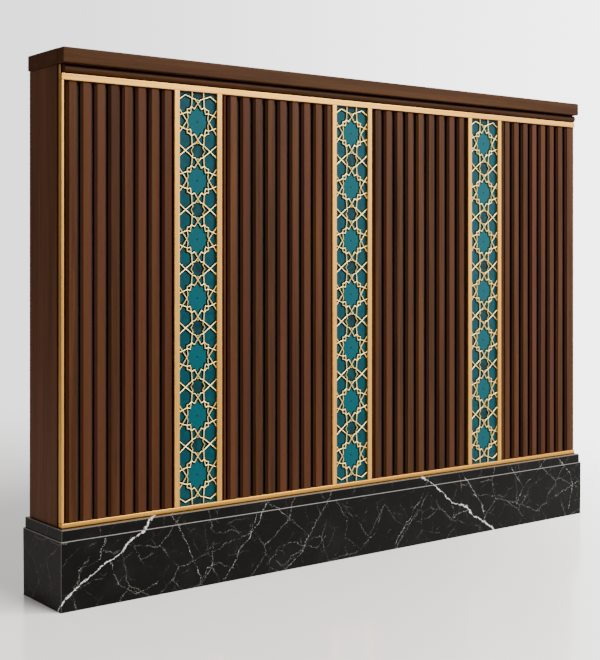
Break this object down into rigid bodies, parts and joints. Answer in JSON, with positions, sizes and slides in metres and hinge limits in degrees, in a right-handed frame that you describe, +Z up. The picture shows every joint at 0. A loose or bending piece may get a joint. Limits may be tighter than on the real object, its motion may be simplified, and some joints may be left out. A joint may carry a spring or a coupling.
{
  "type": "slatted wall panel",
  "caption": "Half-height interior wall panel of vertical walnut slats with star-lattice inlay strips in brass trims, on a marble plinth, with a wooden cap.",
  "frame": {"origin": "centre of the plinth's underside", "axes": "+X along the panel, to the right as seen from the front; the slatted front faces -Y; +Z up"},
  "size_m": [1.672, 0.187, 1.2],
  "materials": {
    "black_marble": "polished",
    "walnut": "satin lacquer",
    "stained_backing": "dark stain, matt",
    "satin_brass": "satin",
    "lattice_brass": "pale satin",
    "teal_glaze": "glazed"
  },
  "bodies": {
    "root": {"back_board": "walnut", "backing_board": "stained_backing", "bottom_rail": "satin_brass", "cap_board": "walnut", "cap_fascia": "walnut", "corner_trim": "satin_brass", "corner_trim_head": "satin_brass", "end_slat": "walnut", "frieze_moulding": "walnut", "inlay_panel_1": "teal_glaze", "inlay_panel_2": "teal_glaze", "inlay_panel_3": "teal_glaze", "narrow_slat_2": "walnut", "narrow_slat_4": "walnut", "plinth": "black_marble", "side_board_left": "walnut", "side_board_right": "walnut", "slat_1_1": "walnut", "slat_1_2": "walnut", "slat_1_3": "walnut", "slat_1_4": "walnut", "slat_1_5": "walnut", "slat_1_6": "walnut", "slat_1_7": "walnut", "slat_1_8": "walnut", "slat_2_1": "walnut", "slat_2_2": "walnut", "slat_2_3": "walnut", "slat_2_4": "walnut", "slat_2_5": "walnut", "slat_2_6": "walnut", "slat_2_7": "walnut", "slat_2_8": "walnut", "slat_2_9": "walnut", "slat_3_1": "walnut", "slat_3_2": "walnut", "slat_3_3": "walnut", "slat_3_4": "walnut", "slat_3_5": "walnut", "slat_3_6": "walnut", "slat_3_7": "walnut", "slat_3_8": "walnut", "slat_3_9": "walnut", "slat_4_1": "walnut", "slat_4_2": "walnut", "slat_4_3": "walnut", "slat_4_4": "walnut", "slat_4_5": "walnut", "slat_4_6": "walnut", "slat_4_7": "walnut", "star_lattice_1": "lattice_brass", "star_lattice_2": "lattice_brass", "star_lattice_3": "lattice_brass", "strip_1_trim_left": "satin_brass", "strip_1_trim_right": "satin_brass", "strip_2_trim_left": "satin_brass", "strip_2_trim_right": "satin_brass", "strip_3_trim_left": "satin_brass", "strip_3_trim_right": "satin_brass", "top_rail": "satin_brass"}
  },
  "joints": []
}
